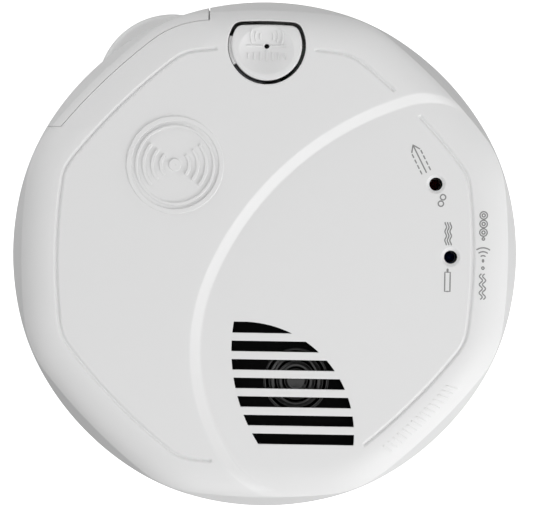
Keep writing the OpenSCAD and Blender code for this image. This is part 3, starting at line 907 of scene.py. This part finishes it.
def build_button():
    """The button's cap with its dish and pinhole, a catch, a guide rib and a stem."""
    shell = Shell()
    outline = d_outline(BUTTON_R, BUTTON_CUT, BUTTON_CORNER, BUTTON_ARCH)
    pinhole = circle(PINHOLE, PINHOLE_R, 16, -1)
    rings = [offset_loop(outline, share * BUTTON_ROUNDING) for share in (*ROUNDING_ROWS[1:], 1.7)]
    rings += [circle(PINHOLE, PINHOLE_R + gap, 16, -1) for gap in (0.08, 0.2, 0.5)]
    for share in (0.35, 0.55, 0.75, 0.88, 0.96, 1.0, 1.04):
        rings.append(DISH + share * DISH_HALF * circle((0, 0), 1, 48))
    within = np.concatenate(rings)
    keep = inside(outline, within) & ~inside(pinhole, within)
    within = within[keep & (gap_to(outline, within) > 0.03)]
    plan, *faces = triangulate([outline, pinhole], within)
    z = button_height(*plan.T) - edge_drop(gap_to(outline, plan), BUTTON_ROUNDING)
    z -= edge_drop(gap_to(pinhole, plan), 0.12)
    rim, pin = shell.sheet(plan, z, *faces)
    pin_low = shell.level(pinhole, BUTTON_LOW + 1.6)
    shell.strip(pin, pin_low, closed=True)
    shell.face(pin_low)
    skirt = shell.level(outline, BUTTON_LOW + CATCH_T)
    shell.strip(rim, skirt, closed=True)
    shell.face(skirt)

    # Catch under the cover along the flat side
    catch = d_outline(CATCH_R, BUTTON_CUT + 0.2, 1.0, 0)
    catch = catch[catch[:, 1] > BUTTON[1] + CATCH_START]
    add_prism(shell, catch, BUTTON_LOW, BUTTON_LOW + CATCH_T, 0.15)
    # Guide rib that fills most of the gap on the left
    rib = chamfered(BUTTON_R - 1, BUTTON_R + RIB_OUT, BUTTON_LOW + 1, DEPTH - 1.6, 0.15)
    add_sweep(shell, rib, *RIB_TURNS, 16, BUTTON)
    # Stem that presses the switch
    low, high = box_mm("switch_plunger")[1][2] + 0.2, BUTTON_LOW + 2
    stem = ((0.01, low), (STEM_R - 0.2, low), (STEM_R, low + 0.2), (STEM_R, high), (0.01, high))
    add_sweep(shell, stem, 0, 360, 33, middle("switch_plunger"))
    finish_mesh("button_cap", shell, "button", "button_plastic", "test_button")


# ---- the sounder's disc

DISC_T = 0.3
DISC_EDGE = 0.05
DISC_RINGS = (3.2, 5.4, 7.6)
DISC_RING_W = 0.45


def build_horn_disc():
    """The sounder's thin disc, with three rounded rings pressed into it."""
    shell = Shell()
    low, high = box_mm("horn_disc")
    rim = (high[0] - low[0]) / 2
    radii = np.array([*np.arange(DISC_EDGE, 9.2, 0.15), rim - DISC_EDGE])
    rings = sum(np.exp(-((radii - r) / DISC_RING_W) ** 2) for r in DISC_RINGS)
    top = low[2] + DISC_T + (high[2] - low[2] - DISC_T) * np.minimum(rings, 1)
    section = [*zip(radii, top), (rim, low[2] + DISC_T / 2), (rim - DISC_EDGE, low[2]), (DISC_EDGE, low[2])]
    add_sweep(shell, section, 0, 360, 72, middle("horn_disc"))
    finish_mesh("horn_disc_rings", shell, "alarm", "horn_metal", "horn_disc")


# ---- raised and printed marks

CAP_COUNT = 7  # points round each end of a ribbon, between its two sides


def add_stroke(shell, path, width, height_at, low, high, edge=0.0, closed=False):
    """A flat ribbon along path that follows a surface, from low to high above it."""
    path = np.asarray(path, float)
    if closed:
        ahead = np.roll(path, -1, axis=0) - np.roll(path, 1, axis=0)
    else:
        ahead = np.gradient(path, axis=0)
    across = normals(ahead)

    def level(row, z):
        return shell.level(row, height_at(*row.T) + z)

    levels = [(width / 2, low), (width / 2, high - edge)]
    if edge:
        levels.append((width / 2 - edge, high))
    if closed:
        runs = [level(path + half * across, z) for half, z in levels]
        runs += [level(path - half * across, z) for half, z in levels[::-1]]
        shell.skin(runs + [runs[0]], closed=True)
        return
    runs = []
    lead, tail = np.degrees(np.arctan2(ahead[[0, -1], 1], ahead[[0, -1], 0]))
    for half, z in levels:
        left, right = path + half * across, path - half * across
        front = arc(path[-1], half, tail + 90, tail - 90, CAP_COUNT + 2)[1:-1]
        back = arc(path[0], half, lead - 90, lead - 270, CAP_COUNT + 2)[1:-1]
        runs.append(level(np.concatenate([left, front, right[::-1], back]), z))
    shell.skin(runs, closed=True)
    for run in (runs[0], runs[-1]):
        left, front = run[:len(path)], run[len(path):len(path) + CAP_COUNT]
        back, right = run[-CAP_COUNT:], run[-CAP_COUNT - len(path):-CAP_COUNT][::-1]
        shell.strip(left, right)
        shell.face([left[-1], *front, right[-1]])
        shell.face([right[0], *back, left[0]])


def ripple(length, swing, waves):
    """A wavy line along X, as points."""
    t = np.linspace(-0.5, 0.5, 25)
    return np.column_stack([length * t, swing * np.sin(2 * np.pi * waves * t)])


EMBLEM = np.array([-25.5, 24.5])


def build_badge():
    """A plain round relief: two rings, and a dot that sends out waves to both sides."""
    shell = Shell()
    raised = dict(height_at=face_height, low=-0.3, high=0.55, edge=0.1)
    for radius, width in ((13.0, 1.3), (10.9, 0.7)):
        add_stroke(shell, circle(EMBLEM, radius, 96), width, closed=True, **raised)
    add_stroke(shell, circle(EMBLEM, 0.9, 32), 1.7, closed=True, **raised)
    for side in (0, 180):
        for radius in (4.0, 6.4, 8.8):
            add_stroke(shell, arc(EMBLEM, radius, side - 38, side + 38, 25), 0.9, **raised)
    finish_mesh("relief_badge", shell, "alarm", "cover_plastic")


def build_bars():
    """A row of low slanted bars, on the lower right shoulder."""
    shell = Shell()
    raised = dict(height_at=face_height, low=-0.3, high=0.2, edge=0.1)
    for turn in np.linspace(-56.8, -34.6, 15):
        ends = np.array([turn - 0.4, turn + 0.4])
        ends = polar(ends, reach(ends, 62.6) + [0, 2.6])
        add_stroke(shell, evenly(*ends, 7), 0.55, **raised)
    finish_mesh("relief_bars", shell, "alarm", "cover_plastic")


def build_button_relief():
    """A broken line across the button, with waves above it and bars below."""
    shell = Shell()
    raised = dict(height_at=button_height, low=-0.25, high=0.38, edge=0.08)
    for start, end in ((-5.8, -1.5), (0.8, 5.0)):
        add_stroke(shell, evenly((start, 58.3), (end, 58.3), 9), 0.42, **raised)
    for side in (0, 180):
        for radius in (1.9, 3.2, 4.5):
            add_stroke(shell, arc((-0.4, 60.9), radius, side - 24, side + 24, 11), 0.45, **raised)
    for k in range(-3, 4):
        x = 1.7 * k - 0.4
        half = 1.2 - 0.22 * abs(k)
        add_stroke(shell, evenly((x, 55.4 - half), (x, 55.4 + half), 7), 0.5, **raised)
    finish_mesh("button_relief", shell, "button", "button_plastic")


def build_print():
    """Small printed signs, without lettering, beside the two lights and down the right side."""
    shell = Shell()
    ink = dict(height_at=face_height, low=-0.1, high=0.03)

    def mark(points, at, width=0.36, closed=False):
        add_stroke(shell, turned(points, *at), width, closed=closed, **ink)

    # An arrow between two rows of dashes, above the upper light
    at = (42.9, 27.7), 117
    mark(evenly((-4.6, 0), (3.6, 0), 15), at)
    mark([(2.2, 1.2), (3.3, 0.45), (4.0, 0), (3.3, -0.45), (2.2, -1.2)], at)
    for x in (-4.4, -2.7, -1.0, 0.7):
        for y in (-1.35, 1.35):
            mark(evenly((x, y), (x + 0.9, y), 4), at)
    # Two linked rings below the upper light
    for x in (-0.95, 0.95):
        mark(circle((x, 0), 0.75, 24), ((49.5, 15.8), 72), closed=True)
    # Ripples above the lower light, and a battery cell below it
    for shift in (-0.7, 0, 0.7):
        mark(ripple(6.2, 0.22, 2.5) + (0, shift), ((51.4, 6.5), 90))
    at = (51.4, -6.8), 90
    mark([(-2.9, -0.75), (-1, -0.75), (1, -0.75), (2.5, -0.75), (2.5, 0), (2.5, 0.75), (1, 0.75),
          (-1, 0.75), (-2.9, 0.75), (-2.9, 0)], at, closed=True)
    mark(evenly((2.9, 0), (3.25, 0), 3), at, 0.6)
    # A long row of signs down the right side
    at = (61.7, 1.1), 90
    for shift in (0, 0.9):
        mark(ripple(7.0, 0.45, 3) + (-9.3, shift), at)
    for x in (-4.1, 4.1):
        mark(circle((x, 0.4), 0.35, 16), at, closed=True)
    for radius in (1.0, 2.1, 3.2):
        mark(arc((-1.6, 0.4), radius, -34, 34, 15), at)
    mark(evenly((-2.2, 0.4), (-1.9, 0.4), 3), at, 0.7)
    for x in (5.9, 8.3, 10.7):
        for radius in (0.45, 1.05):
            mark(circle((x, 0.4), radius, 24), at, closed=True)
    finish_mesh("printed_signs", shell, "alarm", "printed_ink")


# ---- materials

MOTTLE = 8.0  # size of the slow changes of tone and gloss, in millimetres


def start_material(name):
    """A new material with its node tree, its shader, and each point's place on the object."""
    material = bpy.data.materials.new(name)
    material.use_nodes = True
    tree = material.node_tree
    place = tree.nodes.new("ShaderNodeTexCoord").outputs["Object"]
    return material, tree, tree.nodes["Principled BSDF"], place


def feed(tree, node, inputs):
    """Sets a node's inputs by name, to plain values or to the outputs of other nodes."""
    for name, value in inputs.items():
        if isinstance(value, bpy.types.NodeSocket):
            tree.links.new(value, node.inputs[name])
        else:
            node.inputs[name].default_value = value


def add_noise(tree, place, size, detail=2.0):
    """Noise whose features are about size millimetres across, as a value from 0 to 1."""
    noise = tree.nodes.new("ShaderNodeTexNoise")
    feed(tree, noise, {"Scale": 1 / (size * MM), "Detail": detail, "Vector": place})
    return noise.outputs["Fac"]


def add_range(tree, value, low, high, start=0.3, end=0.7):
    """value from start to end mapped to low to high."""
    node = tree.nodes.new("ShaderNodeMapRange")
    feed(tree, node, {"Value": value, "From Min": start, "From Max": end, "To Min": low, "To Max": high})
    return node.outputs["Result"]


def add_mix(tree, share, first, second):
    """A colour between two colours."""
    node = tree.nodes.new("ShaderNodeMix")
    node.data_type = "RGBA"
    feed(tree, node, {"Factor": share, "A": (*first, 1), "B": (*second, 1)})
    return next(output for output in node.outputs if output.type == "RGBA")


def add_bump(tree, shader, height, depth):
    """Bumps the surface by up to depth millimetres."""
    node = tree.nodes.new("ShaderNodeBump")
    feed(tree, node, {"Strength": 1.0, "Distance": depth * MM, "Height": height})
    feed(tree, shader, {"Normal": node.outputs["Normal"]})


def scaled(colour, factor):
    return tuple(min(1.0, c * factor) for c in colour)


def make_finish(name, colour, roughness, grain=0.35, depth=0.006, tone=0.02, spread=0.05,
                metallic=0.0, coat=0.0, transmission=0.0, specular=0.5):
    """A moulded or plated surface: fine grain, and slow changes of tone and gloss."""
    material, tree, shader, place = start_material(name)
    slow = add_noise(tree, place, MOTTLE, 4.0)
    feed(tree, shader, {
        "Base Color": add_mix(tree, slow, scaled(colour, 1 - tone), scaled(colour, 1 + tone)),
        "Roughness": add_range(tree, slow, roughness - spread, roughness + spread),
        "Metallic": metallic, "Coat Weight": coat, "Transmission Weight": transmission,
        "Specular IOR Level": specular})
    add_bump(tree, shader, add_noise(tree, place, grain), depth)
    return material


def make_board(name, colour):
    """Solder mask over copper: pale runs of track show through the green."""
    material, tree, shader, place = start_material(name)
    cells = tree.nodes.new("ShaderNodeTexVoronoi")
    cells.feature = "DISTANCE_TO_EDGE"
    feed(tree, cells, {"Scale": 1 / (5 * MM), "Vector": place})
    track = add_range(tree, cells.outputs["Distance"], 1.0, 0.0, 0.05, 0.08)
    feed(tree, shader, {"Base Color": add_mix(tree, track, colour, scaled(colour, 1.7)),
                        "Roughness": 0.32, "Coat Weight": 0.4})
    add_bump(tree, shader, track, 0.03)
    return material


def make_turned(name, colour, centre):
    """Metal turned about an upright axis, with fine rings round its centre."""
    material, tree, shader, place = start_material(name)
    shift = tree.nodes.new("ShaderNodeMapping")
    feed(tree, shift, {"Vector": place, "Location": (-centre[0] * MM, -centre[1] * MM, 0)})
    rings = tree.nodes.new("ShaderNodeTexWave")
    rings.wave_type = "RINGS"
    rings.rings_direction = "Z"
    feed(tree, rings, {"Vector": shift.outputs["Vector"], "Scale": 1 / (1.6 * MM), "Distortion": 0.4})
    slow = add_noise(tree, place, 3.0, 3.0)
    feed(tree, shader, {"Base Color": add_mix(tree, slow, scaled(colour, 0.85), scaled(colour, 1.1)),
                        "Roughness": add_range(tree, slow, 0.12, 0.2), "Metallic": 1.0})
    add_bump(tree, shader, rings.outputs["Fac"], 0.006)
    return material


WHITE = (0.80, 0.80, 0.80)
# Each slot's colour and roughness, and what differs from the usual finish
FINISHES = {
    "bracket_plastic": ((0.78, 0.78, 0.77), 0.52, dict(grain=0.5, depth=0.01)),
    "housing_plastic": ((0.79, 0.79, 0.785), 0.5, dict(grain=0.5, depth=0.008)),
    "cover_plastic": (WHITE, 0.5, dict(tone=0.008)),
    "button_plastic": (WHITE, 0.46, dict(tone=0.008)),
    "drawer_plastic": (WHITE, 0.5, dict(tone=0.008)),
    "battery_steel": ((0.1, 0.105, 0.12), 0.34, dict(metallic=0.5, coat=0.5, tone=0.12)),
    "battery_board": ((0.035, 0.033, 0.03), 0.7, dict(grain=0.2, depth=0.02, tone=0.2)),
    "terminal_plate": ((0.72, 0.7, 0.66), 0.25, dict(metallic=1.0, tone=0.06)),
    "spring_brass": ((0.78, 0.58, 0.27), 0.28, dict(metallic=1.0, tone=0.08)),
    "black_plastic": ((0.003, 0.003, 0.003), 0.75, dict(grain=0.4, depth=0.01, tone=0.2, specular=0.1)),
    "screen_steel": ((0.5, 0.5, 0.5), 0.4, dict(metallic=1.0, grain=0.25, depth=0.08)),
    "clear_lamp": ((0.8, 0.8, 0.9), 0.08, dict(transmission=0.8, depth=0.001)),
    "dark_lamp": ((0.05, 0.03, 0.07), 0.1, dict(coat=0.3, depth=0.001)),
    "sensor_steel": ((0.58, 0.58, 0.57), 0.36, dict(metallic=1.0, tone=0.07)),
    "horn_ceramic": ((0.76, 0.72, 0.62), 0.5, dict(grain=0.2, depth=0.01, tone=0.05)),
    "red_lamp": ((0.34, 0.02, 0.015), 0.12, dict(coat=0.3, depth=0.001)),
    "blue_lamp": ((0.03, 0.08, 0.36), 0.12, dict(coat=0.3, depth=0.001)),
    "chip_black": ((0.02, 0.02, 0.02), 0.55, dict(grain=0.15, depth=0.01, tone=0.2)),
    "coil_ferrite": ((0.05, 0.045, 0.04), 0.5, dict(grain=0.3, depth=0.04, tone=0.25)),
    "capacitor_sleeve": ((0.03, 0.05, 0.14), 0.3, dict(coat=0.3, tone=0.1)),
    "screw_steel": ((0.6, 0.59, 0.55), 0.3, dict(metallic=1.0, tone=0.08)),
    "label_paper": ((0.82, 0.82, 0.79), 0.8, dict(grain=0.12, depth=0.02, tone=0.04)),
    "printed_ink": ((0.25, 0.25, 0.25), 0.6, dict(grain=0.2, depth=0.003, tone=0.1)),
}
MATERIALS = {slot: make_finish(slot, colour, roughness, **more)
             for slot, (colour, roughness, more) in FINISHES.items()}
MATERIALS["board_green"] = make_board("board_green", (0.02, 0.11, 0.045))
MATERIALS["horn_metal"] = make_turned("horn_metal", (0.05, 0.05, 0.05), middle("horn_disc"))


def finish_frame():
    """Gives every CAD node the finish of its slot in the record."""
    for part in frame["record"]["subparts"]:
        node = frame["nodes"][part["node"]]
        node.data.materials.clear()
        node.data.materials.append(MATERIALS[part["material_slot"]])


# ---- floor, lights and camera

VIEW_WIDTH = 150.0  # width of the picture at the height of the face
VIEW_SHIFT = (0.81, -0.73)  # the picture's middle, from the alarm's axis
VIEW_ROLL = 0.95  # the alarm hangs turned clockwise by this many degrees
VIEW_HEIGHT = 2400.0  # camera's distance from the face

FLOOR_HALF = 3000.0
FLOOR_DROP = 0.2  # the floor lies this far under the bracket
FLOOR_GLOW = 1.0
WORLD_GLOW = 0.272
SOFT_LIGHT_SIZE = 500.0
SOFT_LIGHT_REACH = 900.0  # each light's distance from the middle of the back
# Each soft light's direction round from +X, its height in degrees, and its power in watts
SOFT_LIGHTS = (
    (315, 42, 3.71), (315, 14, 0.6), (270, 14, 0.88), (270, 5, 0.74), (135, 42, 1.24),
    (135, 14, 2.14), (45, 5, 0.81), (0, 5, 2.14), (0, 88, 0.89),
)


def add_stage():
    """A plain pale surface that the alarm lies on."""
    shell = Shell()
    corners = FLOOR_HALF * np.array([(-1, -1), (1, -1), (1, 1), (-1, 1)])
    shell.face(shell.level(corners, -FLOOR_DROP))
    mesh = raw_mesh("floor", shell)
    material, tree, shader, _ = start_material("floor")
    feed(tree, shader, {"Base Color": (0.9, 0.9, 0.9, 1), "Roughness": 0.9,
                        "Emission Color": (1, 1, 1, 1), "Emission Strength": FLOOR_GLOW})
    mesh.materials.append(material)
    floor = add_object("floor", mesh)
    floor.visible_diffuse = False
    floor.visible_glossy = False


def add_light(direction, elevation, power):
    """A square soft light aimed at the alarm."""
    data = bpy.data.lights.new("soft_light", "AREA")
    data.size = SOFT_LIGHT_SIZE * MM
    data.energy = power
    light = add_object("soft_light", data)
    a, e = np.radians(direction), np.radians(elevation)
    way = Vector((np.cos(a) * np.cos(e), np.sin(a) * np.cos(e), np.sin(e)))
    light.location = way * SOFT_LIGHT_REACH * MM
    light.rotation_mode = "QUATERNION"
    light.rotation_quaternion = (-way).to_track_quat("-Z", "Y")


def add_camera():
    """A camera straight in front of the face, far away so that the sides hardly show."""
    data = bpy.data.cameras.new("camera")
    data.sensor_width = 36
    data.lens = data.sensor_width * VIEW_HEIGHT / VIEW_WIDTH
    data.clip_end = 100
    camera = add_object("camera", data)
    camera.location = Vector((*VIEW_SHIFT, DEPTH + VIEW_HEIGHT)) * MM
    camera.rotation_euler = (0, 0, np.radians(VIEW_ROLL))
    bpy.context.scene.camera = camera


def add_world():
    """Even light from all round."""
    world = bpy.data.worlds.new("room")
    world.use_nodes = True
    feed(world.node_tree, world.node_tree.nodes["Background"],
         {"Color": (1, 1, 1, 1), "Strength": WORLD_GLOW})
    bpy.context.scene.world = world


finish_frame()
build_cover()
build_drawer()
build_button()
build_horn_disc()
build_badge()
build_bars()
build_button_relief()
build_print()
add_stage()
add_world()
for facts in SOFT_LIGHTS:
    add_light(*facts)
add_camera()
bpy.context.scene.view_settings.view_transform = "Standard"
